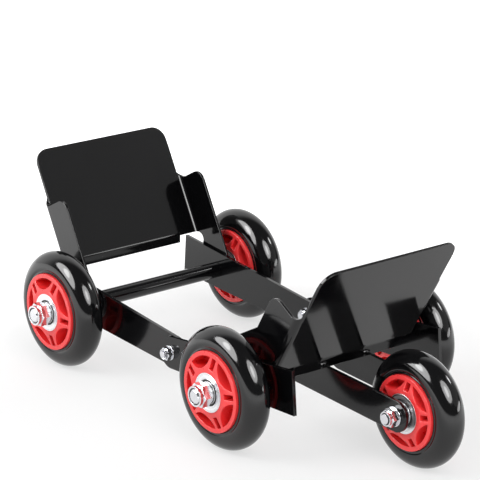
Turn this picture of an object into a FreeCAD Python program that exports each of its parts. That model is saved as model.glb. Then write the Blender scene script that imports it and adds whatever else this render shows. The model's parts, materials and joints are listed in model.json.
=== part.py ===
import FreeCAD, Part
import math
import os

# Motorcycle mover dolly: two hinged frames that cradle a tyre, on five wheels.
# Millimetres, +X towards the single front wheel, +Y to the left, +Z up, floor at Z = 0.
V = FreeCAD.Vector
SIDES = (("left", 1), ("right", -1))

# Wheels
wheel_radius = 50.0
tyre_depth = 17.0
front_wheel_radius = 47.0
front_tyre_depth = 16.7
tyre_width = 24.5
tyre_crown = 12.2
hub_width = 29.0
boss_width = 33.0
hub_rim_wall = 3.7
hub_boss_wall = 3.5
hub_web = 5.0
hub_spokes = 5
pocket_half_angle = 26.0
pocket_land = 0.5
slot_width = 4.5
rear_hub_turn = 33.0
mid_hub_turn = 44.0
front_hub_turn = 45.0

# Bearings, two in each wheel
bearing_bore_radius = 6.0
bearing_radius = 16.0
bearing_width = 10.0
bearing_ring_wall = 2.4
inner_ring_wall = 3.2
ball_radius = 2.4
ball_count = 8
shield_thickness = 0.6
shield_recess = 0.3
shield_clearance = 0.8
running_clearance = 0.05

# Layout of the three axles and the centre hinge
wheelbase = 222.0
fork_length = 117.0
track = 195.0
hinge_ahead = 126.0
hinge_height = 44.8

# Flat bar arms
arm_thickness = 3.0
rear_hinge_end_radius = 13.8
rear_hinge_end_drop = 1.6
front_hinge_end_radius = 13.7
rear_end_back = 46.4
rear_end_height = 35.6
rear_end_rise = 2.3
front_end_ahead = 60.1
front_end_height = 36.5
front_end_rise = 10.0

# Axles
rod_radius = bearing_bore_radius - running_clearance
tube_radius = 7.0
spacer_radius = 8.6
mid_spacer_length = 3.0
front_spacer_length = 4.5
sleeve_wall = 2.0
axle_washer_radius = 9.0
axle_washer_thickness = 2.5
axle_nut_flats = 18.0
axle_nut_height = 10.5
axle_collar_height = 3.0
rod_protrusion = 0.5
nut_collar_inset = 0.6
insert_recess = 1.2
insert_gap = 0.9

# Hinge bolts
hinge_bolt_radius = 3.0
hinge_flats = 10.0
hinge_head_height = 4.0
hinge_washer_radius = 10.0
hinge_nut_washer_radius = 6.2
hinge_nut_washer_thickness = 1.2
hinge_nut_height = 6.0
hinge_collar_height = 1.6
hinge_bolt_protrusion = 0.8

# Fork
fork_bar_thickness = 3.0
fork_bar_radius = 13.0

# Front axle
front_bolt_radius = 4.0
front_bolt_flats = 13.0
front_head_height = 5.3
front_nut_height = 8.0
front_collar_height = 2.2
front_bolt_protrusion = 1.0
front_washer_radius = 8.0
front_washer_thickness = 1.5

# Cradle plates, folded from sheet
sheet = 2.5
plate_lean = 29.7
panel_inset = 2.7
panel_corner = 13.0
wing_depth = 31.0
wing_corner = 10.0
wing_bend = 3.0
notch_drop = 42.0
notch_radius = 9.0
foot_bend = 6.0
foot_lip = 6.5
foot_inset = 19.0
relief_sweep = 45.0
rear_relief_radius = 7.3
rear_relief_drop = 10.8
front_relief_radius = 5.0
front_relief_drop = 6.0
rear_panel_length = 97.5
rear_fold_back = 33.7
rear_fold_rise = 30.3
rear_foot_rise = 10.9
front_panel_length = 106.5
front_fold_ahead = 29.7
front_lip_bite = 4.0
front_toe_reach = 44.0
front_toe_drop = 5.0
front_toe_rise = 17.0
wing_side_clearance = 0.5

# Places that follow from the sizes above
lean = math.radians(plate_lean)
rear_reach = rear_fold_back + rear_panel_length * math.sin(lean) + sheet * math.cos(lean)
front_reach = wheelbase + fork_length + front_wheel_radius
rear_x = (rear_reach - front_reach) / 2
mid_x = rear_x + wheelbase
front_x = mid_x + fork_length
hinge_x = rear_x + hinge_ahead
axle_z = wheel_radius
rim_radius = wheel_radius - tyre_depth
front_rim_radius = front_wheel_radius - front_tyre_depth
front_z = front_wheel_radius
wheel_y = track / 2
bearing_face = boss_width / 2
front_arm_outer = wheel_y - bearing_face - mid_spacer_length
front_arm_inner = front_arm_outer - arm_thickness
wing_outer = front_arm_inner - wing_side_clearance
wing_inner = wing_outer - sheet
rear_arm_outer = wing_inner
rear_arm_inner = rear_arm_outer - arm_thickness
panel_half_width = wing_inner - panel_inset
foot_half_width = wing_inner - foot_inset
wing_drop = notch_drop + notch_radius
fork_bar_inner = bearing_face + front_spacer_length
fork_bar_outer = fork_bar_inner + fork_bar_thickness
fork_slope = (front_z - axle_z) / fork_length
rear_fold_z = axle_z + rear_fold_rise
rear_wing_foot = (rear_fold_rise + wing_depth * math.sin(lean) - rear_foot_rise) / math.cos(lean)
bar_top_z = axle_z + front_fold_ahead * fork_slope + fork_bar_radius
front_fold_z = bar_top_z - front_lip_bite + foot_lip + (foot_bend + sheet) * math.sin(lean)
inner_ring_radius = bearing_bore_radius + inner_ring_wall
race_radius = bearing_radius - bearing_ring_wall
ball_orbit = (inner_ring_radius + race_radius) / 2
boss_radius = bearing_radius + hub_boss_wall


def axial(radius, y0, y1, x=0.0, z=0.0):
    """A round bar along Y."""
    low, high = min(y0, y1), max(y0, y1)
    return Part.makeCylinder(radius, high - low, V(x, low, z), V(0, 1, 0))


def ring(outer, inner, y0, y1, x=0.0, z=0.0):
    """A round tube along Y."""
    return axial(outer, y0, y1, x, z).cut(axial(inner, y0, y1, x, z))


def line(a, b):
    return Part.LineSegment(a, b).toShape()


def arc(a, via, b):
    return Part.Arc(a, via, b).toShape()


def solid_from(edges, depth):
    """The closed outline filled and drawn out along one direction."""
    return Part.Face(Part.Wire(edges)).extrude(depth)


def loop(points):
    """Straight edges through the points and back to the first."""
    return [line(a, b) for a, b in zip(points, points[1:] + points[:1])]


def moved(shape, x, y, z):
    copy = shape.copy()
    copy.translate(V(x, y, z))
    return copy


def polar(radius, degrees, y=0.0):
    angle = math.radians(degrees)
    return V(radius * math.cos(angle), y, radius * math.sin(angle))


def hexagon(flats, height, tip=1):
    """A hexagon bar along Y from 0 to height, its corners turned off at the tip end."""
    corner = flats / math.sqrt(3)
    bar = solid_from(loop([polar(corner, 60 * i) for i in range(6)]), V(0, height, 0))
    drop = (corner - flats / 2) * math.tan(math.radians(30))
    cone = Part.makeCone(flats / 2, corner, drop, V(0, height, 0), V(0, -1, 0))
    cap = axial(corner, 0, height - drop).fuse(cone)
    nut = bar.common(cap)
    if tip < 0:
        nut.rotate(V(0, 0, 0), V(1, 0, 0), 180)
    return nut


def lock_nut(flats, height, collar, bore, tip):
    """A hexagon nut with a turned collar, recessed around the thread at its tip."""
    body = hexagon(flats, height - collar, tip)
    body = body.fuse(axial(flats / 2 - nut_collar_inset, 0, tip * height))
    thread = axial(bore, -tip, tip * (height + 1))
    recess = axial(bore + insert_gap, tip * (height - insert_recess), tip * (height + 1))
    return body.cut([thread, recess]).removeSplitter()


def tyre(radius, rim):
    half = tyre_width / 2
    shoulder = radius - tyre_crown
    low_in, low_out = V(rim, -half, 0), V(shoulder, -half, 0)
    high_in, high_out = V(rim, half, 0), V(shoulder, half, 0)
    edges = [line(low_in, low_out), arc(low_out, V(radius, 0, 0), high_out),
             line(high_out, high_in), line(high_in, low_in)]
    section = Part.Face(Part.Wire(edges))
    return section.revolve(V(0, 0, 0), V(0, 1, 0), 360)


def hub_cuts(rim, turn):
    """The lens pockets and small slots of one hub face, drawn out along +Y."""
    outer = rim - hub_rim_wall
    inner = boss_radius + pocket_land
    start = hub_web / 2
    depth = V(0, boss_width / 2 - start + 1, 0)
    pitch = 360 / hub_spokes
    half = slot_width / 2
    cuts = []
    for i in range(hub_spokes):
        middle = turn + i * pitch
        a = polar(outer, middle - pocket_half_angle, start)
        b = polar(outer, middle + pocket_half_angle, start)
        edges = [arc(a, polar(outer, middle, start), b), arc(b, polar(inner, middle, start), a)]
        cuts.append(solid_from(edges, depth))
        corners = [V(inner, start, -half), V(outer, start, -half),
                   V(outer, start, half), V(inner, start, half)]
        slot = solid_from(loop(corners), depth)
        slot.rotate(V(0, 0, 0), V(0, 1, 0), -(middle + pitch / 2))
        cuts.append(slot)
    return cuts


def hub(rim, turn):
    """Rim, web and raised boss, with the first pocket turned up from +X by the given degrees."""
    edge = hub_width / 2
    half = boss_width / 2
    seat = bearing_face - bearing_width
    slope = rim - hub_rim_wall
    section = [(race_radius, -half), (boss_radius, -half), (slope, -edge), (rim, -edge),
               (rim, edge), (slope, edge), (boss_radius, half), (race_radius, half)]
    outline = Part.Wire(loop([V(radius, along, 0) for radius, along in section]))
    body = Part.Face(outline).revolve(V(0, 0, 0), V(0, 1, 0), 360)
    cuts = []
    for side in (1, -1):
        cuts.append(axial(bearing_radius, side * seat, side * (half + 1)))
        for cut in hub_cuts(rim, turn):
            if side < 0:
                cut = cut.mirror(V(0, 0, 0), V(0, 1, 0))
            cuts.append(cut)
    return body.cut(cuts)


def groove(clearance):
    return Part.makeTorus(ball_orbit, ball_radius + clearance, V(0, 0, 0), V(0, 1, 0))


def bearing_places():
    offset = bearing_face - bearing_width / 2
    return (-offset, offset)


def bearing_shell():
    """Outer ring with a pressed shield at each end."""
    half = bearing_width / 2
    shell = ring(bearing_radius, race_radius, -half, half).cut(groove(0.0))
    for side in (1, -1):
        face = side * (half - shield_recess)
        bore = inner_ring_radius + shield_clearance
        shield = ring(race_radius, bore, face - side * shield_thickness, face)
        shell = shell.fuse(shield)
    return shell.removeSplitter()


def inner_ring():
    half = bearing_width / 2
    return ring(inner_ring_radius, bearing_bore_radius, -half, half).cut(groove(running_clearance))


def ball_set(y):
    return [Part.makeSphere(ball_radius, polar(ball_orbit, i * 360 / ball_count, y))
            for i in range(ball_count)]


def wheel_nodes(name, radius, rim, turn, x, y, z):
    shells = [moved(bearing_shell(), 0, place, 0) for place in bearing_places()]
    balls = [ball for place in bearing_places() for ball in ball_set(place)]
    pieces = {"tyre": tyre(radius, rim), "hub": hub(rim, turn),
              "bearing_shells": Part.Compound(shells), "bearing_balls": Part.Compound(balls)}
    return {name + "_" + part: moved(shape, x, y, z) for part, shape in pieces.items()}


def bearing_core(x, y, z):
    """The parts of one wheel's bearings that stay with the axle."""
    rings = [moved(inner_ring(), x, y + place, z) for place in bearing_places()]
    reach = bearing_face - bearing_width
    wall = bearing_bore_radius + sleeve_wall
    sleeve = ring(wall, bearing_bore_radius, y - reach, y + reach, x, z)
    return rings, sleeve


def wheel_axle_nodes(name, x, arm_face):
    """Rod, spacers, bearing cores, washers and nuts of an axle with a wheel at each end."""
    inner_face = wheel_y - bearing_face
    outer_face = wheel_y + bearing_face
    nut_face = outer_face + axle_washer_thickness
    rod_end = nut_face + axle_nut_height + rod_protrusion
    groups = {"spacers": [], "bearing_inner_rings": [], "bearing_sleeves": [],
              "washers": [], "nuts": []}
    for _, side in SIDES:
        rings, sleeve = bearing_core(x, side * wheel_y, axle_z)
        groups["bearing_inner_rings"] += rings
        groups["bearing_sleeves"].append(sleeve)
        groups["spacers"].append(ring(spacer_radius, bearing_bore_radius, side * arm_face,
                                      side * inner_face, x, axle_z))
        groups["washers"].append(ring(axle_washer_radius, bearing_bore_radius, side * outer_face,
                                      side * nut_face, x, axle_z))
        nut = lock_nut(axle_nut_flats, axle_nut_height, axle_collar_height, rod_radius, side)
        groups["nuts"].append(moved(nut, x, side * nut_face, axle_z))
    nodes = {name + "_axle_" + group: Part.Compound(shapes) for group, shapes in groups.items()}
    nodes[name + "_axle_rod"] = axial(rod_radius, -rod_end, rod_end, x, axle_z)
    return nodes


def axle_tube(x, reach):
    return ring(tube_radius, bearing_bore_radius, -reach, reach, x, axle_z)


def tangent_point(point, centre, radius, side):
    """Where a line from the point touches the circle, on its upper or lower side."""
    dx, dz = point.x - centre.x, point.z - centre.z
    swing = math.acos(radius / math.hypot(dx, dz))
    away = math.copysign(1, dx)
    angle = math.atan2(dz, dx) + side * away * swing
    return centre + V(radius * math.cos(angle), 0, radius * math.sin(angle))


def tapered_arm(end_x, end_z, end_height, hinge_radius, y0, axle_x, hinge_drop=0.0):
    """Flat bar from a square-cut end to the round end at the hinge, drilled for both axles."""
    centre = V(hinge_x, y0, hinge_height - hinge_drop)
    end = V(end_x, y0, end_z)
    along = (centre - end).normalize()
    up = V(-along.z, 0, along.x) * math.copysign(end_height / 2, along.x)
    top, bottom = end + up, end - up
    touch_top = tangent_point(top, centre, hinge_radius, 1)
    touch_bottom = tangent_point(bottom, centre, hinge_radius, -1)
    tip = centre + along * hinge_radius
    edges = [line(bottom, touch_bottom), arc(touch_bottom, tip, touch_top),
             line(touch_top, top), line(top, bottom)]
    arm = solid_from(edges, V(0, arm_thickness, 0))
    holes = [axial(bearing_bore_radius, y0 - 1, y0 + arm_thickness + 1, axle_x, axle_z),
             axial(hinge_bolt_radius + running_clearance, y0 - 1, y0 + arm_thickness + 1,
                   hinge_x, hinge_height)]
    return arm.cut(holes)


def side_start(side, inner, thickness):
    """Lower Y of a flat piece that lies from inner to inner + thickness on one side."""
    return inner if side > 0 else -inner - thickness


def rear_arm(side):
    y0 = side_start(side, rear_arm_inner, arm_thickness)
    return tapered_arm(rear_x - rear_end_back, axle_z + rear_end_rise, rear_end_height,
                       rear_hinge_end_radius, y0, rear_x, rear_hinge_end_drop)


def front_arm(side):
    y0 = side_start(side, front_arm_inner, arm_thickness)
    return tapered_arm(mid_x + front_end_ahead, axle_z + front_end_rise, front_end_height,
                       front_hinge_end_radius, y0, mid_x)


def hinge_nodes():
    """Both hinge bolts point their nuts to -Y."""
    groups = {"hinge_bolts": [], "hinge_washers": [], "hinge_nut_washers": [], "hinge_nuts": []}
    bore = hinge_bolt_radius + running_clearance
    for _, side in SIDES:
        faces = sorted((side * rear_arm_inner, side * front_arm_outer))
        nut_face = faces[0] - hinge_nut_washer_thickness
        tip = nut_face - hinge_nut_height - hinge_bolt_protrusion
        shank = axial(hinge_bolt_radius, tip, faces[1], hinge_x, hinge_height)
        head = moved(hexagon(hinge_flats, hinge_head_height), hinge_x, faces[1], hinge_height)
        groups["hinge_bolts"].append(shank.fuse(head).removeSplitter())
        groups["hinge_washers"].append(ring(hinge_washer_radius, bore, side * rear_arm_outer,
                                            side * front_arm_inner, hinge_x, hinge_height))
        groups["hinge_nut_washers"].append(ring(hinge_nut_washer_radius, bore, nut_face, faces[0],
                                                hinge_x, hinge_height))
        nut = lock_nut(hinge_flats, hinge_nut_height, hinge_collar_height, hinge_bolt_radius, -1)
        groups["hinge_nuts"].append(moved(nut, hinge_x, nut_face, hinge_height))
    return {name: Part.Compound(shapes) for name, shapes in groups.items()}


def bar_outline(radius, y0, thickness):
    """Straight bar with round ends about the mid and front axles."""
    a, b = V(mid_x, y0, axle_z), V(front_x, y0, front_z)
    along = (b - a).normalize()
    across = V(-along.z, 0, along.x) * radius
    edges = [line(a + across, b + across), arc(b + across, b + along * radius, b - across),
             line(b - across, a - across), arc(a - across, a - along * radius, a + across)]
    return solid_from(edges, V(0, thickness, 0))


def fork_bar(side):
    y0 = side_start(side, fork_bar_inner, fork_bar_thickness)
    y1 = y0 + fork_bar_thickness
    bar = bar_outline(fork_bar_radius, y0, fork_bar_thickness)
    return bar.cut([axial(tube_radius + running_clearance, y0 - 1, y1 + 1, mid_x, axle_z),
                    axial(front_bolt_radius + running_clearance, y0 - 1, y1 + 1, front_x, front_z)])


def front_axle_nodes():
    """Bolt with its head on the left and its nut on the right, and what it clamps."""
    rings, _ = bearing_core(front_x, 0, front_z)
    bore = front_bolt_radius + running_clearance
    washer_face = fork_bar_outer + front_washer_thickness
    tip = -(washer_face + front_nut_height + front_bolt_protrusion)
    shank = axial(front_bolt_radius, tip, washer_face, front_x, front_z)
    head = moved(hexagon(front_bolt_flats, front_head_height), front_x, washer_face, front_z)
    sleeve = ring(rod_radius, bore, -fork_bar_inner, fork_bar_inner, front_x, front_z)
    spacers = []
    washers = []
    for _, side in SIDES:
        spacers.append(ring(spacer_radius, bearing_bore_radius, side * bearing_face,
                            side * fork_bar_inner, front_x, front_z))
        washers.append(ring(front_washer_radius, bore, side * fork_bar_outer,
                            side * washer_face, front_x, front_z))
    nut = lock_nut(front_bolt_flats, front_nut_height, front_collar_height, front_bolt_radius, -1)
    return {"front_axle_bolt": shank.fuse(head).removeSplitter(),
            "front_axle_spacers": Part.Compound(spacers),
            "front_axle_bearing_inner_rings": Part.Compound(rings),
            "front_axle_sleeve": sleeve,
            "front_axle_washers": Part.Compound(washers),
            "front_axle_nut": moved(nut, front_x, -washer_face, front_z)}


def folded_channel(reach, low, high):
    """Panel with a wing folded forward at each side, before it is trimmed."""
    outer_bend = wing_bend + sheet
    parts = []
    for width, back, bend in ((wing_outer, -sheet, outer_bend), (wing_inner, 0.0, wing_bend)):
        inset = bend * (1 - math.sqrt(0.5))
        a, b = V(reach, -width, low), V(back + bend, -width, low)
        c, d = V(back, bend - width, low), V(back, width - bend, low)
        e, f = V(back + bend, width, low), V(reach, width, low)
        edges = [line(a, b), arc(b, V(back + inset, inset - width, low), c), line(c, d),
                 arc(d, V(back + inset, width - inset, low), e), line(e, f), line(f, a)]
        parts.append(solid_from(edges, V(0, 0, high - low)))
    return parts[0].cut(parts[1])


def wing_outline(panel_length, foot, relief_radius, relief_drop):
    """Side view of the folded channel: everything outside it is trimmed away."""
    top = panel_length - wing_drop
    notch = panel_length - notch_drop
    y0 = -wing_outer - 1
    back = -sheet - 1
    corner = wing_corner * (1 - math.sqrt(0.5))
    side_end = relief_radius - relief_drop
    sweep = math.radians(relief_sweep)
    points = [V(back, y0, notch), V(back, y0, side_end), V(-sheet, y0, side_end),
              V(relief_radius * math.cos(sweep) - sheet, y0, -relief_radius * math.sin(sweep) - relief_drop)]
    points += [V(reach, y0, height) for reach, height in foot]
    points.append(V(wing_depth, y0, top - wing_corner))
    edges = [line(a, b) for a, b in zip(points, points[1:])]
    crest = V(wing_depth - wing_corner, y0, top)
    dip = V(notch_radius - sheet, y0, top)
    rise = V(-sheet, y0, notch)
    inset = notch_radius * (1 - math.sqrt(0.5))
    edges += [arc(points[-1], V(wing_depth - corner, y0, top - corner), crest), line(crest, dip),
              arc(dip, V(inset - sheet, y0, top + inset), rise), line(rise, points[0])]
    return solid_from(edges, V(0, 2 * (wing_outer + 1), 0))


def upper_panel(panel_length):
    """Flat sheet above the wings, with two round corners."""
    low = panel_length - wing_drop
    half = panel_half_width
    shoulder = panel_length - panel_corner
    inset = panel_corner * (1 - math.sqrt(0.5))
    a, b = V(-sheet, -half, low), V(-sheet, half, low)
    c, d = V(-sheet, half, shoulder), V(-sheet, half - panel_corner, panel_length)
    e, f = V(-sheet, panel_corner - half, panel_length), V(-sheet, -half, shoulder)
    edges = [line(a, b), line(b, c), arc(c, V(-sheet, half - inset, panel_length - inset), d),
             line(d, e), arc(e, V(-sheet, inset - half, panel_length - inset), f), line(f, a)]
    return solid_from(edges, V(sheet, 0, 0))


def foot_strip():
    """Lower edge of the panel, folded so that the lip hangs plumb."""
    outer = foot_bend + sheet
    start = -foot_half_width
    centre = V(-outer, start, 0)

    def on_bend(radius, angle):
        return centre + V(radius * math.cos(angle), 0, -radius * math.sin(angle))

    down = V(-math.sin(lean), 0, -math.cos(lean)) * foot_lip
    face_top, back_top = V(0, start, 2 * sheet), V(-sheet, start, 2 * sheet)
    face, back = V(0, start, 0), V(-sheet, start, 0)
    face_end, back_end = on_bend(outer, lean), on_bend(foot_bend, lean)
    edges = [line(face_top, face), arc(face, on_bend(outer, lean / 2), face_end),
             line(face_end, face_end + down), line(face_end + down, back_end + down),
             line(back_end + down, back_end), arc(back_end, on_bend(foot_bend, lean / 2), back),
             line(back, back_top), line(back_top, face_top)]
    return solid_from(edges, V(0, 2 * foot_half_width, 0))


def cradle_plate(panel_length, foot, relief_radius, relief_drop):
    """Plate in its own frame: panel upright, tyre side to +X, fold of the lip at Z = 0."""
    relief_end = relief_drop + relief_radius
    low = min(height for _, height in foot) - relief_end
    reach = max(reach for reach, _ in foot)
    channel = folded_channel(reach, low, panel_length - notch_drop)
    plate = channel.common(wing_outline(panel_length, foot, relief_radius, relief_drop))
    lip_room = Part.makeBox(sheet + 2, 2 * foot_half_width, relief_end,
                            V(-sheet - 1, -foot_half_width, -relief_end))
    plate = plate.cut(lip_room).fuse([upper_panel(panel_length), foot_strip()]).removeSplitter()
    reliefs = []
    for _, side in SIDES:
        reliefs.append(axial(relief_radius, side * foot_half_width, side * (wing_outer + 1),
                             -sheet, -relief_drop))
    return plate.cut(reliefs)


def set_plate(plate, heading, fold_x, fold_z):
    """Lean the plate away from the tyre and put its fold at the given place."""
    plate.rotate(V(0, 0, 0), V(0, 1, 0), -plate_lean)
    plate.rotate(V(0, 0, 0), V(0, 0, 1), heading)
    plate.translate(V(fold_x, 0, fold_z))
    return plate


def rear_cradle_plate():
    foot = [(wing_depth, -rear_wing_foot)]
    plate = cradle_plate(rear_panel_length, foot, rear_relief_radius, rear_relief_drop)
    return set_plate(plate, 0, rear_x - rear_fold_back, rear_fold_z)


def front_cradle_plate():
    """The lip is slotted where the fork bars pass through it."""
    toe = [(front_toe_reach, -front_toe_drop), (wing_depth, front_toe_rise)]
    plate = cradle_plate(front_panel_length, toe, front_relief_radius, front_relief_drop)
    plate = set_plate(plate, 180, mid_x + front_fold_ahead, front_fold_z)
    slots = []
    for _, side in SIDES:
        y0 = side_start(side, fork_bar_inner, fork_bar_thickness)
        slots.append(bar_outline(fork_bar_radius, y0, fork_bar_thickness))
    return plate.cut(slots)


def all_nodes():
    nodes = {}
    for name, side in SIDES:
        nodes["rear_arm_" + name] = rear_arm(side)
        nodes["front_arm_" + name] = front_arm(side)
        nodes["fork_bar_" + name] = fork_bar(side)
        for axle, x, turn in (("rear", rear_x, rear_hub_turn), ("mid", mid_x, mid_hub_turn)):
            nodes.update(wheel_nodes(axle + "_" + name, wheel_radius, rim_radius, turn,
                                     x, side * wheel_y, axle_z))
    nodes.update(wheel_nodes("front", front_wheel_radius, front_rim_radius, front_hub_turn,
                             front_x, 0, front_z))
    nodes["rear_axle_tube"] = axle_tube(rear_x, rear_arm_inner)
    nodes["mid_axle_tube"] = axle_tube(mid_x, front_arm_inner)
    nodes["rear_cradle_plate"] = rear_cradle_plate()
    nodes["front_cradle_plate"] = front_cradle_plate()
    nodes.update(wheel_axle_nodes("rear", rear_x, rear_arm_outer))
    nodes.update(wheel_axle_nodes("mid", mid_x, front_arm_outer))
    nodes.update(front_axle_nodes())
    nodes.update(hinge_nodes())
    return nodes


def main():
    os.makedirs("parts", exist_ok=True)
    nodes = all_nodes()
    for name, shape in nodes.items():
        if not shape.isValid():
            raise ValueError("invalid solid in " + name)
        shape.exportStep("parts/" + name + ".step")
    whole = Part.Compound(list(nodes.values())).BoundBox
    print("nodes", len(nodes))
    print("box", [round(v, 3) for v in (whole.XMin, whole.XMax, whole.YMin, whole.YMax,
                                        whole.ZMin, whole.ZMax)])
    print("rear axle", rear_x, "mid axle", mid_x, "front axle", front_x, "hinge", hinge_x)


main()
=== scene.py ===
import json
import math

import bmesh
import bpy
from mathutils import Matrix, Vector


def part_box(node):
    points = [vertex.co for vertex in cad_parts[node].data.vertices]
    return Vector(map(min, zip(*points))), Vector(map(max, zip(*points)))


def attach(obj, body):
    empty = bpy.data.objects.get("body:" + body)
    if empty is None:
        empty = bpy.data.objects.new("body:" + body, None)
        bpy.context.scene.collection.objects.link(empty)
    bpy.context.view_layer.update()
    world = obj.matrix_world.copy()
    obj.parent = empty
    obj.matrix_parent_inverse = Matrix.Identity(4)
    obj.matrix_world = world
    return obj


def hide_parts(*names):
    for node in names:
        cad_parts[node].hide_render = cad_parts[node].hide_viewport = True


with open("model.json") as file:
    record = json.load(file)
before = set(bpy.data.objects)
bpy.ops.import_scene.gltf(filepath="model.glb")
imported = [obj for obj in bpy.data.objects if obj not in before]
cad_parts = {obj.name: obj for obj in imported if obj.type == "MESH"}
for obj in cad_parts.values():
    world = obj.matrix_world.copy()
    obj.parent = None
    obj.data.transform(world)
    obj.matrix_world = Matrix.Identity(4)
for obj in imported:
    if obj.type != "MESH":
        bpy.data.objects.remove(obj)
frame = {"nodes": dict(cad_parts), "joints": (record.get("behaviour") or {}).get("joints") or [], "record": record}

bl_info = {
    "name": "Motorcycle Mover Dolly",
    "version": (1, 0, 0),
    "blender": (4, 5, 0),
    "location": "3D View > Sidebar > Dolly",
    "description": "Dresses a hinged five-wheel tyre dolly and sets it in a pale studio",
    "category": "Object",
}

MM = 0.001
WHEELS = ("rear_left", "rear_right", "mid_left", "mid_right", "front")
BODIES = frame["record"]["behaviour"]["bodies"]
BODY_OF = {node: body for body, nodes in BODIES.items() for node in nodes}
PIVOT = {joint["name"]: Vector(joint["pos_m"]) for joint in frame["joints"]}
FACING = {mount["name"]: Vector(mount["axis"]) for mount in frame["record"]["mounts"]}
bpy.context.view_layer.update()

# Points nearer than this are one point.
SAME_PLACE = 0.001 * MM
# Degrees between two faces: flatter ones are joined on a copied shape, and sharper ones get a rounded edge.
FLAT_BELOW = 0.3
SHARP_ABOVE = 28.0
# Corners nearer than this are joined on a moulded hub and on a bent sheet.
HUB_JOIN = 0.12 * MM
SHEET_JOIN = 0.3 * MM
# Points this near a piece's lowest one are on its underside.
LEVEL = 0.01 * MM
# Steps around the turned rods, the bearing lips and the rings in the lock nuts.
ROD_STEPS, SEAL_STEPS, INSERT_STEPS = 48, 72, 40

# The ring moulded into a tyre's side: millimetres outside the rim, and share of the ring's depth.
BEAD_RING = ((3.0, 0), (2.6, 1), (1.6, 1), (1.2, 0))
TYRE_LIP = 0.5 * MM
CROWN_STEPS = 28

# Depths of a bearing's rubber lip below the bearing's end, and its gap to the inner ring.
SEAL_ROOT, SEAL_SHOULDER, SEAL_CREST = 0.7 * MM, 0.3 * MM, 0.12 * MM
SEAL_GAP = 0.1 * MM
SEAL_ROUND = 0.3 * MM

# Depths of a lock nut's ring below the nut's end, its width, its gap to the thread and its edge.
INSERT_BACK, INSERT_FACE = 1.2 * MM, 0.7 * MM
INSERT_WIDTH = 0.84 * MM
INSERT_GAP = 0.02 * MM
INSERT_ROUND = 0.15 * MM

# A thread's depth as a share of its pitch, and where its root and its crest lie within one turn.
THREAD_DEPTH = 0.55
THREAD_ROOT, THREAD_CREST = 0.5, 0.9

# Beads are slimmer than a full fillet. Across a fork bar they run past its sides, and up its sides they
# start above the lip's underside.
WELD_SLIM = 0.8
WELD_PAST = 2 * MM
WELD_LIFT = 0.3 * MM
# A hand's slow waves along a bead: share of its leg, and radians in one metre.
WELD_WANDER = ((0.06, 190.0), (0.05, 71.0))
# The rear wing's lower edge, from the plate's lowest corner, and the weld's length up its front edge.
WING_BACK, WING_RISE = 36.0 * MM, 6.8 * MM
WING_FRONT_RUN = 6.0 * MM

# The lamps point at the dolly's middle and stand this far from it, in metres.
AIM = Vector((0.0, 0.0, 0.06))
LAMP_DISTANCE = 2.0
# Name, azimuth and elevation in degrees, width and height in metres, watts.
SOFT_BOXES = (
    ("left_soft_box", -115, 32, 1.6, 1.7, 62),
    ("left_box_core", -115, 34, 0.5, 0.9, 10),
    ("right_soft_box", -12, 39, 1.6, 1.4, 44),
    ("right_box_core", -13, 38, 0.6, 0.7, 8),
    ("pale_screen", 42, 30, 2.8, 1.5, 3.8),
    ("low_window", 44, 5, 1.3, 0.3, 6),
    ("high_window", 62, 38.5, 0.4, 0.4, 5.5),
)
OVERHEAD = Vector((0.0, 0.0, 3.2))
# The way to the white wall from the dolly.
WALL_WAY = (-0.866, 0.5, 0.0)


def linear(code):
    """Linear RGBA from an sRGB hex value."""
    channels = []
    for start in (1, 3, 5):
        value = int(code[start:start + 2], 16) / 255
        channels.append(value / 12.92 if value <= 0.04045 else ((value + 0.055) / 1.055) ** 2.4)
    return (*channels, 1.0)


def colour(name, text, code):
    """A colour setting whose default is an sRGB hex value."""
    return bpy.props.FloatVectorProperty(name=name, description=text, subtype="COLOR", size=4,
                                         min=0.0, max=1.0, default=linear(code))


def length(name, text, millimetres):
    """A length setting whose default is in millimetres."""
    return bpy.props.FloatProperty(name=name, description=text, subtype="DISTANCE", unit="LENGTH",
                                   min=0.0, default=millimetres * MM, precision=5)


def turn(name, text, degrees):
    """An angle setting whose default is in degrees."""
    return bpy.props.FloatProperty(name=name, description=text, subtype="ANGLE",
                                   default=math.radians(degrees))


class DollyPaintSettings(bpy.types.PropertyGroup):
    """The coat on the welded steel"""
    coat: colour("Coat", "Colour of the powder coat", "#060607")
    edge_round: length("Cut edge", "Rounding that the coat leaves on a cut edge", 0.5)
    peel: length("Orange peel", "Spacing of the ripples in the coat", 2.2)


class DollyWheelSettings(bpy.types.PropertyGroup):
    """The tyres and hubs"""
    rubber: colour("Tyre", "Colour of the cast tyre", "#070708")
    nylon: colour("Hub", "Colour of the moulded hub", "#ea3436")
    hub_round: length("Hub edge", "Rounding on the moulded hub's edges", 0.4)
    bead_groove: length("Bead groove", "Depth of the ring moulded into the tyre's side", 0.35)
    segments: bpy.props.IntProperty(name="Segments", description="Steps around one tyre", default=144, min=24)


class DollyHardwareSettings(bpy.types.PropertyGroup):
    """The bearings, axles, nuts and bolts"""
    zinc: colour("Zinc", "Colour of the plated nuts, bolts and rods", "#e4e5e8")
    steel: colour("Bearing steel", "Colour of the ground bearing rings", "#ececee")
    # The seal's black is partly painted shade in the gap around the inner ring.
    seal: colour("Seal", "Colour of the rubber lip in a bearing's end", "#0d0d0e")
    seal_width: length("Seal lip", "Width of the rubber lip in a bearing's end", 1.6)
    # The lock ring's dark colour is partly painted shade in the nut's recess.
    insert: colour("Lock insert", "Colour of the ring inside a lock nut", "#1c1d20")
    edge_round: length("Edge", "Rounding on turned and ground edges", 0.3)
    axle_pitch: length("Axle thread", "Thread pitch of the axle rods", 1.75)
    axle_thread: length("Threaded end", "Length of the thread on each end of an axle rod", 24.0)
    front_bolt: length("Front bolt", "Thread size of the front axle bolt", 8.0)


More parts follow.
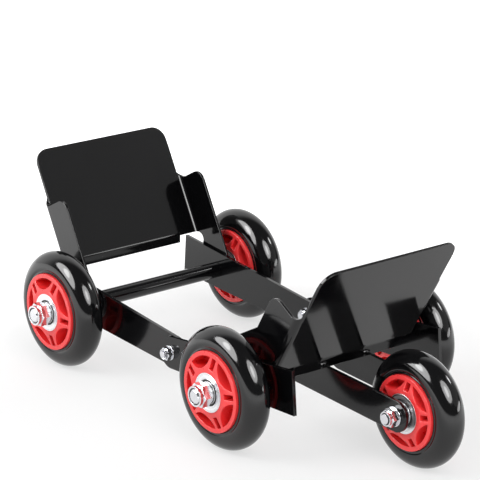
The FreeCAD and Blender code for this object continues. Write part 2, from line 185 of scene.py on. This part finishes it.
class DollyWeldSettings(bpy.types.PropertyGroup):
    """The weld beads"""
    leg: length("Leg", "Leg of a fillet weld", 2.2)
    ripple: length("Ripple", "Spacing of the ripples along a weld", 2.4)


class DollyStageSettings(bpy.types.PropertyGroup):
    """The floor and the camera"""
    floor: colour("Floor", "Colour of the floor", "#8f8f8f")
    reach: length("Reach", "Half the floor's width", 9000.0)
    lens: bpy.props.FloatProperty(name="Lens", description="Focal length in millimetres", default=177.28)
    eye: bpy.props.FloatVectorProperty(name="Eye", description="Where the camera stands", size=3,
                                       subtype="TRANSLATION", unit="LENGTH",
                                       default=(1.4106, -1.1636, 0.7548))
    azimuth: turn("Azimuth", "Turn of the view about the upright", 51.12)
    elevation: turn("Elevation", "Angle of the view above the floor", 18.79)
    roll: turn("Roll", "Tilt of the camera about its own axis", 0.73)


def add_node(tree, kind, settings=None, links=None):
    """Add one node, set its sockets or attributes, and link sources into its sockets."""
    node = tree.nodes.new(kind)
    for key, value in (settings or {}).items():
        if key in node.inputs:
            node.inputs[key].default_value = value
        else:
            setattr(node, key, value)
    for key, source in (links or {}).items():
        tree.links.new(source, node.inputs[key])
    return node


def new_material(name):
    """An empty node material, or None where it was already made."""
    if name in bpy.data.materials:
        return None
    material = bpy.data.materials.new(name)
    material.use_nodes = True
    material.node_tree.nodes.clear()
    return material


def per_metre(millimetres):
    """Texture scale for a pattern of that size."""
    return 1.0 / (millimetres * MM)


def scaled(base, red, green, blue):
    """A colour with each channel multiplied."""
    return (base[0] * red, base[1] * green, base[2] * blue, 1.0)


def finish(tree, pattern, tints, gloss, settings, normal=None):
    """One shader whose tint and roughness follow a pattern, linked to the material's output."""
    tint = add_node(tree, "ShaderNodeMix", {"data_type": "RGBA"}, {"Factor": pattern})
    tint.inputs["A"].default_value, tint.inputs["B"].default_value = tints
    rough = add_node(tree, "ShaderNodeMapRange", {"To Min": gloss[0], "To Max": gloss[1]},
                     {"Value": pattern})
    links = {"Base Color": tint.outputs["Result"], "Roughness": rough.outputs["Result"]}
    if normal:
        links["Normal"] = normal
    shader = add_node(tree, "ShaderNodeBsdfPrincipled", settings, links)
    add_node(tree, "ShaderNodeOutputMaterial", links={"Surface": shader.outputs["BSDF"]})


def powder_coated_steel():
    # Polyester powder baked on sheet steel: deep black, a sharp gloss, faint orange peel in reflections.
    name = "gloss_black_powder_coated_steel"
    material = new_material(name)
    if material:
        paint = bpy.context.scene.dolly_paint
        tree = material.node_tree
        place = add_node(tree, "ShaderNodeTexCoord").outputs["Object"]
        # Coat thickness drifts over about 40 mm, so the gloss does too.
        drift = add_node(tree, "ShaderNodeTexNoise", {"Scale": per_metre(40), "Detail": 2.0},
                         {"Vector": place})
        peel = add_node(tree, "ShaderNodeTexNoise", {"Scale": 1.0 / paint.peel, "Detail": 1.0},
                        {"Vector": place})
        ripple = add_node(tree, "ShaderNodeBump", {"Strength": 0.035, "Distance": 0.0002},
                          {"Height": peel.outputs["Fac"]})
        finish(tree, drift.outputs["Fac"], (paint.coat, scaled(paint.coat, 1.35, 1.35, 1.4)), (0.07, 0.13),
               {"IOR": 1.46, "Metallic": 0.0}, ripple.outputs["Normal"])
    return bpy.data.materials[name]


def cast_polyurethane():
    # Polyurethane cast in a polished mould: black, wet-looking gloss, slow waves in the highlights.
    name = "black_cast_polyurethane"
    material = new_material(name)
    if material:
        rubber = bpy.context.scene.dolly_wheel.rubber
        tree = material.node_tree
        place = add_node(tree, "ShaderNodeTexCoord").outputs["Object"]
        flow = add_node(tree, "ShaderNodeTexNoise", {"Scale": per_metre(14), "Detail": 2.0},
                        {"Vector": place})
        # Release marks are under 0.1 mm apart; drawn at 1.5 mm so that they show.
        marks = add_node(tree, "ShaderNodeTexNoise", {"Scale": per_metre(1.5), "Detail": 1.0},
                         {"Vector": place})
        grain = add_node(tree, "ShaderNodeBump", {"Strength": 0.02, "Distance": 0.0002},
                         {"Height": marks.outputs["Fac"]})
        finish(tree, flow.outputs["Fac"], (rubber, scaled(rubber, 1.5, 1.5, 1.5)), (0.07, 0.12),
               {"IOR": 1.5, "Metallic": 0.0}, grain.outputs["Normal"])
    return bpy.data.materials[name]


def moulded_nylon():
    # Nylon injected in a polished mould: strong red, soft gloss, faint flow marks.
    name = "red_moulded_nylon"
    material = new_material(name)
    if material:
        nylon = bpy.context.scene.dolly_wheel.nylon
        tree = material.node_tree
        place = add_node(tree, "ShaderNodeTexCoord").outputs["Object"]
        flow = add_node(tree, "ShaderNodeTexNoise", {"Scale": per_metre(9), "Detail": 3.0},
                        {"Vector": place})
        # The mould's fine grain is about 0.1 mm; drawn at 0.8 mm so that it shows.
        fine = add_node(tree, "ShaderNodeTexNoise", {"Scale": per_metre(0.8), "Detail": 1.0},
                        {"Vector": place})
        grain = add_node(tree, "ShaderNodeBump", {"Strength": 0.03, "Distance": 0.0002},
                         {"Height": fine.outputs["Fac"]})
        finish(tree, flow.outputs["Fac"], (scaled(nylon, 0.92, 0.85, 0.85), nylon), (0.24, 0.34),
               {"IOR": 1.53, "Metallic": 0.0}, grain.outputs["Normal"])
    return bpy.data.materials[name]


def zinc_plate():
    # Bright zinc plated on forged and rolled steel: white metal, mirror-like with a slight mottle.
    name = "bright_zinc_plated_steel"
    material = new_material(name)
    if material:
        zinc = bpy.context.scene.dolly_hardware.zinc
        tree = material.node_tree
        place = add_node(tree, "ShaderNodeTexCoord").outputs["Object"]
        mottle = add_node(tree, "ShaderNodeTexNoise", {"Scale": per_metre(2.5), "Detail": 3.0},
                          {"Vector": place})
        finish(tree, mottle.outputs["Fac"], (scaled(zinc, 0.86, 0.86, 0.88), zinc), (0.1, 0.22),
               {"Metallic": 1.0})
    return bpy.data.materials[name]


def ground_steel():
    # Bearing steel turned and ground: bright satin, with fine rings from the wheel around the bore.
    name = "ground_bearing_steel"
    material = new_material(name)
    if material:
        steel = bpy.context.scene.dolly_hardware.steel
        tree = material.node_tree
        place = add_node(tree, "ShaderNodeTexCoord").outputs["Object"]
        # Grinding lines are about 0.05 mm apart; drawn 3.77 mm apart so that they show.
        # A wave texture runs through 20 radians in one unit of its scale.
        rings = add_node(tree, "ShaderNodeTexWave",
                         {"wave_type": "RINGS", "rings_direction": "Y",
                          "Scale": per_metre(3.77) * math.tau / 20, "Distortion": 0.4},
                         {"Vector": place})
        finish(tree, rings.outputs["Fac"], (scaled(steel, 0.9, 0.9, 0.91), steel), (0.26, 0.38),
               {"Metallic": 1.0})
    return bpy.data.materials[name]


def moulded_nitrile():
    # Nitrile rubber moulded on the bearing's shield, dull black with a slight bloom; the black ring also stands
    # for the shade in the gap at the inner ring, as painted shade.
    name = "black_moulded_nitrile_rubber"
    material = new_material(name)
    if material:
        seal = bpy.context.scene.dolly_hardware.seal
        tree = material.node_tree
        place = add_node(tree, "ShaderNodeTexCoord").outputs["Object"]
        bloom = add_node(tree, "ShaderNodeTexNoise", {"Scale": per_metre(3), "Detail": 2.0},
                         {"Vector": place})
        finish(tree, bloom.outputs["Fac"], (seal, scaled(seal, 1.6, 1.6, 1.6)), (0.45, 0.6),
               {"IOR": 1.48, "Metallic": 0.0})
    return bpy.data.materials[name]


def nylon_insert():
    # Black nylon pressed into the nut's collar, dark and waxy; its dark colour also stands for the shade in the
    # nut's recess, as painted shade.
    name = "black_nylon_insert"
    material = new_material(name)
    if material:
        insert = bpy.context.scene.dolly_hardware.insert
        tree = material.node_tree
        place = add_node(tree, "ShaderNodeTexCoord").outputs["Object"]
        cloud = add_node(tree, "ShaderNodeTexNoise", {"Scale": per_metre(2), "Detail": 2.0},
                         {"Vector": place})
        finish(tree, cloud.outputs["Fac"], (scaled(insert, 0.9, 0.9, 0.88), insert), (0.38, 0.5),
               {"IOR": 1.53, "Metallic": 0.0})
    return bpy.data.materials[name]


def opal_acrylic():
    # Opal acrylic lit from below, as on a light table: pale, almost free of shadow, and even apart from painted
    # shade in the middle, under the dolly.
    name = "opal_acrylic_light_table"
    material = new_material(name)
    if material:
        tree = material.node_tree
        place = add_node(tree, "ShaderNodeTexCoord").outputs["Object"]
        sheen = add_node(tree, "ShaderNodeTexNoise", {"Scale": per_metre(300), "Detail": 1.0},
                         {"Vector": place})
        gloss = add_node(tree, "ShaderNodeMapRange", {"To Min": 0.85, "To Max": 0.95},
                         {"Value": sheen.outputs["Fac"]})
        # The middle of the table glows less than the rest: painted shade on the floor under and around the dolly.
        spread = add_node(tree, "ShaderNodeVectorMath", {"operation": "LENGTH"}, {0: place})
        glow = add_node(tree, "ShaderNodeMapRange",
                        {"interpolation_type": "SMOOTHSTEP", "From Min": 0.2, "From Max": 0.55,
                         "To Min": 0.64, "To Max": 1.4},
                        {"Value": spread.outputs["Value"]})
        shader = add_node(tree, "ShaderNodeBsdfPrincipled",
                          {"IOR": 1.45, "Specular IOR Level": 0.1, "Emission Color": linear("#ffffff")},
                          {"Roughness": gloss.outputs["Result"], "Emission Strength": glow.outputs["Result"]})
        shader.inputs["Base Color"].default_value = bpy.context.scene.dolly_stage.floor
        add_node(tree, "ShaderNodeOutputMaterial", links={"Surface": shader.outputs["BSDF"]})
    return bpy.data.materials[name]


def object_from(bm, name, material, origin=(0, 0, 0), crease=40.0, weighted=False):
    """Turn the mesh being built into a smooth-shaded object with its origin at the given place."""
    origin = Vector(origin)
    bmesh.ops.translate(bm, verts=bm.verts, vec=-origin)
    bmesh.ops.recalc_face_normals(bm, faces=bm.faces)
    mesh = bpy.data.meshes.new(name)
    bm.to_mesh(mesh)
    bm.free()
    mesh.materials.append(material)
    mesh.shade_smooth()
    mesh.set_sharp_from_angle(angle=math.radians(crease))
    piece = bpy.data.objects.new(name, mesh)
    piece.location = origin
    bpy.context.scene.collection.objects.link(piece)
    if weighted:
        even = piece.modifiers.new("even_shading", "WEIGHTED_NORMAL")
        even.keep_sharp = True
    return piece


def dress(piece, node):
    """Let a piece stand for a node and ride where the node rides."""
    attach(piece, BODY_OF[node])
    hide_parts(node)
    return piece


def tight_corners(bm, sharp, join):
    """Corners with so little room beside them that a rounding would run past their neighbours."""
    edges = set(sharp)
    tight = set()
    for vert in bm.verts:
        least = min(edge.calc_length() for edge in vert.link_edges)
        meeting = sum(1 for edge in vert.link_edges if edge in edges)
        if least < 2 * join or (meeting != 2 and least < 4 * join):
            tight.add(vert)
    return tight


def rounded_copy(node, material, edge, origin=(0, 0, 0), steps=2, join=0.0):
    """The node's own shape with its sharp edges rounded, which stands for the node.

    Given a join distance, closer corners become one first, and edges at tight corners stay sharp."""
    bm = bmesh.new()
    bm.from_mesh(frame["nodes"][node].data)
    bmesh.ops.remove_doubles(bm, verts=bm.verts, dist=max(join, SAME_PLACE))
    bmesh.ops.dissolve_limit(bm, angle_limit=math.radians(FLAT_BELOW), verts=bm.verts, edges=bm.edges)
    limit = math.radians(SHARP_ABOVE)
    sharp = [e for e in bm.edges if len(e.link_faces) == 2 and e.calc_face_angle(0.0) > limit]
    if join:
        tight = tight_corners(bm, sharp, join)
        sharp = [e for e in sharp if not tight.intersection(e.verts)]
    bmesh.ops.bevel(bm, geom=sharp, offset=edge, segments=steps, profile=0.5, affect="EDGES",
                    clamp_overlap=join == 0.0)
    bmesh.ops.dissolve_degenerate(bm, dist=SAME_PLACE, edges=bm.edges)
    piece = object_from(bm, node + "_dressed", material, origin, crease=50.0, weighted=True)
    return dress(piece, node)


def turned(profile, segments, centre, closed=False):
    """A mesh turned about the Y axis through the centre, from (radius, along) points."""
    bm = bmesh.new()
    centre = Vector(centre)
    rows = []
    for radius, along in profile:
        if radius == 0.0:
            rows.append([bm.verts.new(centre + Vector((0, along, 0)))])
            continue
        row = []
        for i in range(segments):
            angle = 2 * math.pi * i / segments
            point = Vector((radius * math.cos(angle), along, radius * math.sin(angle)))
            row.append(bm.verts.new(centre + point))
        rows.append(row)
    pairs = list(zip(rows, rows[1:]))
    if closed:
        pairs.append((rows[-1], rows[0]))
    for a, b in pairs:
        for i in range(segments):
            j = (i + 1) % segments
            ring = [a[i % len(a)], a[j % len(a)], b[j % len(b)], b[i % len(b)]]
            corners = []
            for vert in ring:
                if vert not in corners:
                    corners.append(vert)
            bm.faces.new(corners)
    return bm


class DOLLY_OT_tyres(bpy.types.Operator):
    """Cast tyres with a round crown and a ring moulded into each side"""
    bl_idname = "dolly.tyres"
    bl_label = "Tyres"

    def execute(self, context):
        wheel = context.scene.dolly_wheel
        for name in WHEELS:
            node = name + "_tyre"
            low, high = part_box(node)
            centre = (low + high) / 2
            radius = (high.z - low.z) / 2
            half = (high.y - low.y) / 2
            rim = (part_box(name + "_hub")[1].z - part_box(name + "_hub")[0].z) / 2
            shoulder = radius - half
            profile = []
            for i in range(CROWN_STEPS + 1):
                angle = math.pi * (i / CROWN_STEPS - 0.5)
                profile.append((shoulder + half * math.cos(angle), half * math.sin(angle)))
            side = [(rim + out * MM, half - share * wheel.bead_groove) for out, share in BEAD_RING]
            side += [(rim + TYRE_LIP, half), (rim, half - TYRE_LIP)]
            profile += side + [(r, -y) for r, y in reversed(side)]
            bm = turned(profile, wheel.segments, centre, closed=True)
            tyre = object_from(bm, name + "_cast_tyre", cast_polyurethane(), centre, crease=60.0)
            dress(tyre, node)
        return {"FINISHED"}


class DOLLY_OT_hubs(bpy.types.Operator):
    """Moulded hubs with their pocket edges rounded"""
    bl_idname = "dolly.hubs"
    bl_label = "Hubs"

    def execute(self, context):
        for name in WHEELS:
            # The pockets' arcs have short steps, which would hold back the rounding.
            rounded_copy(name + "_hub", moulded_nylon(), context.scene.dolly_wheel.hub_round,
                         PIVOT[name + "_wheel_spin"], join=HUB_JOIN)
        return {"FINISHED"}


class DOLLY_OT_bearings(bpy.types.Operator):
    """Ground bearing rings, shields and balls"""
    bl_idname = "dolly.bearings"
    bl_label = "Bearings"

    def execute(self, context):
        edge = context.scene.dolly_hardware.edge_round
        for name in WHEELS:
            rounded_copy(name + "_bearing_shells", ground_steel(), edge,
                         PIVOT[name + "_wheel_spin"])
            frame["nodes"][name + "_bearing_balls"].material_slots[0].material = ground_steel()
        for axle in ("rear", "mid", "front"):
            node = axle + "_axle_bearing_inner_rings"
            low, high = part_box(node)
            rounded_copy(node, ground_steel(), edge, (low + high) / 2)
        return {"FINISHED"}


class DOLLY_OT_seals(bpy.types.Operator):
    """Rubber lips between the shields and the inner rings of the bearings, whose black is partly painted shade in
    the gap there
    """
    bl_idname = "dolly.seals"
    bl_label = "Bearing Seals"

    def execute(self, context):
        width = context.scene.dolly_hardware.seal_width
        for name in WHEELS:
            axle = name.split("_")[0] + "_axle_bearing_inner_rings"
            low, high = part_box(axle)
            inner = (high.z - low.z) / 2 + SEAL_GAP
            outer = inner + width
            low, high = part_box(name + "_bearing_shells")
            centre = PIVOT[name + "_wheel_spin"]
            for side, face, inward in (("left", high.y, -1), ("right", low.y, 1)):
                root, shoulder, crest = SEAL_ROOT * inward, SEAL_SHOULDER * inward, SEAL_CREST * inward
                profile = [(inner, root), (inner, shoulder), (inner + SEAL_ROUND, crest),
                           (outer - SEAL_ROUND, crest), (outer, shoulder), (outer, root)]
                place = Vector((centre.x, face, centre.z))
                piece = object_from(turned(profile, SEAL_STEPS, place, closed=True), name + "_seal_" + side,
                                    moulded_nitrile(), place)
                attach(piece, name + "_wheel")
        return {"FINISHED"}


class DOLLY_OT_painted_steel(bpy.types.Operator):
    """Cradle plates, arms, fork bars and axle tubes under one coat of paint"""
    bl_idname = "dolly.painted_steel"
    bl_label = "Painted Steel"

    def execute(self, context):
        edge = context.scene.dolly_paint.edge_round
        nodes = ["rear_cradle_plate", "front_cradle_plate", "rear_axle_tube", "mid_axle_tube"]
        for side in ("left", "right"):
            nodes += ["rear_arm_" + side, "front_arm_" + side, "fork_bar_" + side]
        for node in nodes:
            # The sheet's outline has short steps at its bends, which would hold back the rounding.
            join = SHEET_JOIN if node.endswith("_plate") else 0.0
            rounded_copy(node, powder_coated_steel(), edge, steps=3, join=join)
        return {"FINISHED"}


def thread_turns(radius, depth, pitch, along, end):
    """The root and the crest of each turn of a thread, from one place along a bar to another."""
    points = []
    while along < end:
        points += [(radius - depth, along + pitch * THREAD_ROOT), (radius, along + pitch * THREAD_CREST)]
        along += pitch
    return points


def threaded_rod(name, node, radius, pitch, thread):
    """A bar along Y with a cut thread and a chamfer on each end."""
    low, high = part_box(node)
    centre = (low + high) / 2
    start, stop = low.y - centre.y, high.y - centre.y
    depth = THREAD_DEPTH * pitch
    chamfer = 0.8 * depth
    tip, shoulder = radius - depth - 0.2 * chamfer, radius - 0.2 * depth
    near = thread_turns(radius, depth, pitch, start + chamfer, start + thread)
    far = thread_turns(radius, depth, pitch, stop - thread, stop - chamfer - pitch)
    shank = [(radius, near[-1][1] + pitch * 1.6), (radius, stop - thread - pitch)]
    profile = [(0.0, start), (tip, start), (shoulder, start + chamfer)] + near + shank + far
    profile += [(shoulder, stop - chamfer), (tip, stop), (0.0, stop)]
    return object_from(turned(profile, ROD_STEPS, centre), name, zinc_plate(), centre, crease=35.0)


def lock_insert(name, body, centre, bore, inward):
    """The ring at the bottom of a lock nut's recess, seen around the thread."""
    back, face = INSERT_BACK * inward, INSERT_FACE * inward
    shoulder = face + INSERT_ROUND * inward
    low = bore + INSERT_GAP
    high = low + INSERT_WIDTH
    profile = [(low, back), (low, shoulder), (low + INSERT_ROUND, face),
               (high - INSERT_ROUND, face), (high, shoulder), (high, back)]
    ring = turned(profile, INSERT_STEPS, centre, closed=True)
    piece = object_from(ring, name, nylon_insert(), centre)
    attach(piece, body)
    return piece


class DOLLY_OT_axle_hardware(bpy.types.Operator):
    """Axle rods, the front bolt, washers, lock nuts and their inserts"""
    bl_idname = "dolly.axle_hardware"
    bl_label = "Axle Hardware"

    def execute(self, context):
        hardware = context.scene.dolly_hardware
        edge = hardware.edge_round
        for axle in ("rear", "mid"):
            node = axle + "_axle_rod"
            low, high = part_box(node)
            radius = (high.z - low.z) / 2
            rod = threaded_rod(axle + "_axle_threaded_rod", node, radius, hardware.axle_pitch,
                               hardware.axle_thread)
            dress(rod, node)
            centre = PIVOT[axle + "_left_wheel_spin"]
            for group in ("spacers", "washers", "nuts"):
                rounded_copy(axle + "_axle_" + group, zinc_plate(), edge, centre)
            nut_low, nut_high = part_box(axle + "_axle_nuts")
            for side, tip, inward in (("left", nut_high.y, -1), ("right", nut_low.y, 1)):
                place = Vector((centre.x, tip, centre.z))
                lock_insert(axle + "_lock_insert_" + side, BODY_OF[node], place, radius, inward)
        centre = PIVOT["front_wheel_spin"]
        for node in ("front_axle_spacers", "front_axle_washers", "front_axle_nut", "front_axle_bolt"):
            rounded_copy(node, zinc_plate(), edge, centre)
        place = Vector((centre.x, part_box("front_axle_nut")[0].y, centre.z))
        lock_insert("front_lock_insert", "front_fork", place, hardware.front_bolt / 2, 1)
        for node in ("rear_axle_bearing_sleeves", "mid_axle_bearing_sleeves", "front_axle_sleeve"):
            frame["nodes"][node].material_slots[0].material = zinc_plate()
        return {"FINISHED"}


class DOLLY_OT_hinge_hardware(bpy.types.Operator):
    """Hinge bolts, washers and lock nuts"""
    bl_idname = "dolly.hinge_hardware"
    bl_label = "Hinge Hardware"

    def execute(self, context):
        edge = context.scene.dolly_hardware.edge_round
        for node in ("hinge_bolts", "hinge_washers", "hinge_nut_washers", "hinge_nuts"):
            rounded_copy(node, zinc_plate(), edge, PIVOT["fold_hinge"])
        return {"FINISHED"}


def weld_bead(name, body, stations):
    """A rippled fillet along a corner, from (corner, one face's direction, the other's) stations."""
    bm = bmesh.new()
    rows = []
    steps = 6
    for corner, one, other in stations:
        # The bead's back lies a little inside the metal, so no gap shows behind it.
        row = [bm.verts.new(corner - (one + other) * 0.1)]
        for i in range(steps + 1):
            angle = 0.5 * math.pi * i / steps
            row.append(bm.verts.new(corner + one * math.cos(angle) + other * math.sin(angle)))
        rows.append(row)
    bm.faces.new(rows[0])
    bm.faces.new(list(reversed(rows[-1])))
    for a, b in zip(rows, rows[1:]):
        for i in range(len(a)):
            j = (i + 1) % len(a)
            bm.faces.new([a[i], a[j], b[j], b[i]])
    piece = object_from(bm, name, powder_coated_steel(), crease=70.0)
    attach(piece, body)
    return piece


def rippled(distance, leg, pitch):
    """Leg of a hand-laid bead, swelling once in each ripple and wandering slowly as the hand does."""
    phase = (distance / pitch) % 1.0
    swell = math.sqrt(max(0.0, 1.0 - (2.0 * phase - 1.0) ** 2))
    wander = sum(share * math.sin(distance * rate) for share, rate in WELD_WANDER)
    return leg * (0.86 + 0.2 * swell + wander)


def straight_bead(name, body, start, end, one, other):
    """A slim bead along a straight corner between two faces, tapering at its ends."""
    weld = bpy.context.scene.dolly_weld
    start, end, one, other = Vector(start), Vector(end), Vector(one), Vector(other)
    run = (end - start).length
    count = max(8, int(run / (weld.ripple / 6)))
    stations = []
    for i in range(count + 1):
        along = run * i / count
        taper = min(1.0, 0.45 + along / (2 * weld.leg), 0.45 + (run - along) / (2 * weld.leg))
        leg = WELD_SLIM * taper * rippled(along, weld.leg, weld.ripple)
        stations.append((start.lerp(end, i / count), one * leg, other * leg))
    return weld_bead(name, body, stations)


def lowest_points(node):
    """The corners on the underside of a node."""
    points = [vert.co for vert in frame["nodes"][node].data.vertices]
    floor = min(point.z for point in points)
    return [point for point in points if point.z < floor + LEVEL]


def fork_welds():
    """Beads around each fork bar, before and behind the front plate's lip."""
    lip = lowest_points("front_cradle_plate")
    pivot, front = PIVOT["fork_pivot"], PIVOT["front_wheel_spin"]
    for side in ("left", "right"):
        low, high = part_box("fork_bar_" + side)
        for face, x, ahead in (("front", max(p.x for p in lip), 1), ("back", min(p.x for p in lip), -1)):
            share = (x - pivot.x) / (front.x - pivot.x)
            top = high.z + (front.z - pivot.z) * share
            forward = (ahead, 0, 0)
            name = "fork_weld_" + face + "_" + side
            straight_bead(name + "_top", "front_fork", (x, low.y - WELD_PAST, top),
                          (x, high.y + WELD_PAST, top), forward, (0, 0, 1))
            for edge, y, out in (("low", low.y, -1), ("high", high.y, 1)):
                straight_bead(name + "_" + edge, "front_fork", (x, y, lip[0].z + WELD_LIFT), (x, y, top),
                              forward, (0, out, 0))


def wing_welds():
    """Beads where the rear plate's wings lie against the arms, along their lower and front edges."""
    ahead = FACING["rear_cradle_face"]
    rise = Vector((-ahead.z, 0.0, ahead.x))
    corner = lowest_points("rear_cradle_plate")[0].copy()
    corner.y = 0.0
    back = corner + Vector((-WING_BACK, 0.0, WING_RISE))
    top = corner + rise * WING_FRONT_RUN
    edge_run = (corner - back).normalized()
    below = Vector((edge_run.z, 0.0, -edge_run.x))
    for side, sign in (("left", 1), ("right", -1)):
        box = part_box("rear_arm_" + side)
        shift = Vector((0.0, box[1].y if sign > 0 else box[0].y, 0.0))
        out = Vector((0.0, sign, 0.0))
        straight_bead("wing_weld_lower_" + side, "rear_frame", back + shift, corner + shift, out, below)
        straight_bead("wing_weld_front_" + side, "rear_frame", corner + shift, top + shift, out, ahead)


class DOLLY_OT_welds(bpy.types.Operator):
    """Weld beads on the cradle wings and the fork"""
    bl_idname = "dolly.welds"
    bl_label = "Welds"

    def execute(self, context):
        fork_welds()
        wing_welds()
        return {"FINISHED"}


def area_lamp(name, shape, place, width, height, watts):
    """A lamp of the given shape and size in metres that points at the dolly's middle."""
    lamp = bpy.data.lights.new(name, "AREA")
    lamp.shape = shape
    lamp.size = width
    lamp.size_y = height
    lamp.energy = watts
    holder = bpy.data.objects.new(name, lamp)
    holder.location = place
    holder.rotation_euler = (AIM - place).to_track_quat("-Z", "Y").to_euler()
    bpy.context.scene.collection.objects.link(holder)
    return holder


def lamp_place(azimuth, elevation):
    """Where a lamp stands, seen from the dolly's middle at the given angles in degrees."""
    a, e = math.radians(azimuth), math.radians(elevation)
    way = Vector((math.cos(e) * math.cos(a), math.cos(e) * math.sin(a), math.sin(e)))
    return AIM + way * LAMP_DISTANCE


def lay_floor(stage):
    """One large flat face under the wheels."""
    reach = stage.reach
    bm = bmesh.new()
    bm.faces.new([bm.verts.new((x, y, 0.0)) for x, y in
                  ((-reach, -reach), (reach, -reach), (reach, reach), (-reach, reach))])
    object_from(bm, "studio_floor", opal_acrylic())


def hang_lamps():
    """Large soft boxes that show in gloss only, and weaker fills that light the rest."""
    for name, azimuth, elevation, wide, high, watts in SOFT_BOXES:
        box = area_lamp(name, "ELLIPSE", lamp_place(azimuth, elevation), wide, high, watts)
        box.visible_diffuse = False
    for name, place, wide, watts in (("left_fill", lamp_place(-113, 37), 1.2, 26),
                                     ("right_fill", lamp_place(-12, 38), 1.2, 21),
                                     ("overhead_fill", OVERHEAD, 3.0, 22)):
        fill = area_lamp(name, "RECTANGLE", place, wide, wide, watts)
        fill.visible_glossy = False


def light_room(scene):
    """A tall white wall behind the dolly, in a room that is dim otherwise."""
    world = bpy.data.worlds.new("studio_room")
    scene.world = world
    world.use_nodes = True
    tree = world.node_tree
    tree.nodes.clear()
    ray = add_node(tree, "ShaderNodeTexCoord").outputs["Generated"]
    facing = add_node(tree, "ShaderNodeVectorMath", {"operation": "DOT_PRODUCT"}, {0: ray})
    facing.inputs[1].default_value = WALL_WAY
    wall = add_node(tree, "ShaderNodeMapRange",
                    {"interpolation_type": "SMOOTHSTEP", "From Min": 0.25, "From Max": 0.6,
                     "To Min": 0.14, "To Max": 1.3},
                    {"Value": facing.outputs["Value"]})
    # The backdrop itself is plain white, whichever way it is seen.
    seen = add_node(tree, "ShaderNodeLightPath").outputs["Is Camera Ray"]
    glow = add_node(tree, "ShaderNodeMath", {"operation": "MAXIMUM"}, {0: wall.outputs["Result"], 1: seen})
    back = add_node(tree, "ShaderNodeBackground", {"Color": linear("#ffffff")},
                    {"Strength": glow.outputs["Value"]})
    add_node(tree, "ShaderNodeOutputWorld", links={"Surface": back.outputs["Background"]})


def place_camera(scene, stage):
    """The camera, turned by its azimuth and elevation and then rolled about its own axis."""
    camera = bpy.data.cameras.new("photo_camera")
    camera.lens = stage.lens
    camera.sensor_width = 36.0
    camera.sensor_fit = "HORIZONTAL"
    camera.clip_end = 60.0
    camera.dof.use_dof = False
    az, el, roll = stage.azimuth, stage.elevation, stage.roll
    behind = Vector((math.sin(az) * math.cos(el), -math.cos(az) * math.cos(el), math.sin(el)))
    level = Vector((math.cos(az), math.sin(az), 0.0))
    upright = behind.cross(level)
    right = level * math.cos(roll) + upright * math.sin(roll)
    up = upright * math.cos(roll) - level * math.sin(roll)
    holder = bpy.data.objects.new("photo_camera", camera)
    rotation = Matrix((right, up, behind)).transposed().to_4x4()
    holder.matrix_world = Matrix.Translation(Vector(stage.eye)) @ rotation
    scene.collection.objects.link(holder)
    scene.camera = holder


class DOLLY_OT_stage(bpy.types.Operator):
    """Pale floor, soft boxes, white wall and the camera"""
    bl_idname = "dolly.stage"
    bl_label = "Stage"

    def execute(self, context):
        scene = context.scene
        lay_floor(scene.dolly_stage)
        hang_lamps()
        light_room(scene)
        place_camera(scene, scene.dolly_stage)
        scene.view_settings.view_transform = "Standard"
        return {"FINISHED"}


OPERATORS = (DOLLY_OT_tyres, DOLLY_OT_hubs, DOLLY_OT_bearings, DOLLY_OT_seals, DOLLY_OT_painted_steel,
             DOLLY_OT_axle_hardware, DOLLY_OT_hinge_hardware, DOLLY_OT_welds, DOLLY_OT_stage)
SETTINGS = (("dolly_paint", DollyPaintSettings), ("dolly_wheel", DollyWheelSettings),
            ("dolly_hardware", DollyHardwareSettings), ("dolly_weld", DollyWeldSettings),
            ("dolly_stage", DollyStageSettings))


class DOLLY_PT_panel(bpy.types.Panel):
    """Sidebar list of the dolly's pieces"""
    bl_idname = "DOLLY_PT_panel"
    bl_label = "Motorcycle Mover Dolly"
    bl_space_type = "VIEW_3D"
    bl_region_type = "UI"
    bl_category = "Dolly"

    def draw(self, context):
        for operator in OPERATORS:
            self.layout.operator(operator.bl_idname)
        for name, group in SETTINGS:
            box = self.layout.box()
            for key in group.__annotations__:
                box.prop(getattr(context.scene, name), key)


def register():
    for name, group in SETTINGS:
        bpy.utils.register_class(group)
        setattr(bpy.types.Scene, name, bpy.props.PointerProperty(type=group))
    for cls in OPERATORS + (DOLLY_PT_panel,):
        bpy.utils.register_class(cls)


def unregister():
    for cls in reversed(OPERATORS + (DOLLY_PT_panel,)):
        bpy.utils.unregister_class(cls)
    for name, group in reversed(SETTINGS):
        delattr(bpy.types.Scene, name)
        bpy.utils.unregister_class(group)


def main():
    register()
    bpy.ops.dolly.tyres()
    bpy.ops.dolly.hubs()
    bpy.ops.dolly.bearings()
    bpy.ops.dolly.seals()
    bpy.ops.dolly.painted_steel()
    bpy.ops.dolly.axle_hardware()
    bpy.ops.dolly.hinge_hardware()
    bpy.ops.dolly.welds()
    bpy.ops.dolly.stage()
    bpy.context.view_layer.update()


if __name__ == "__main__":
    main()
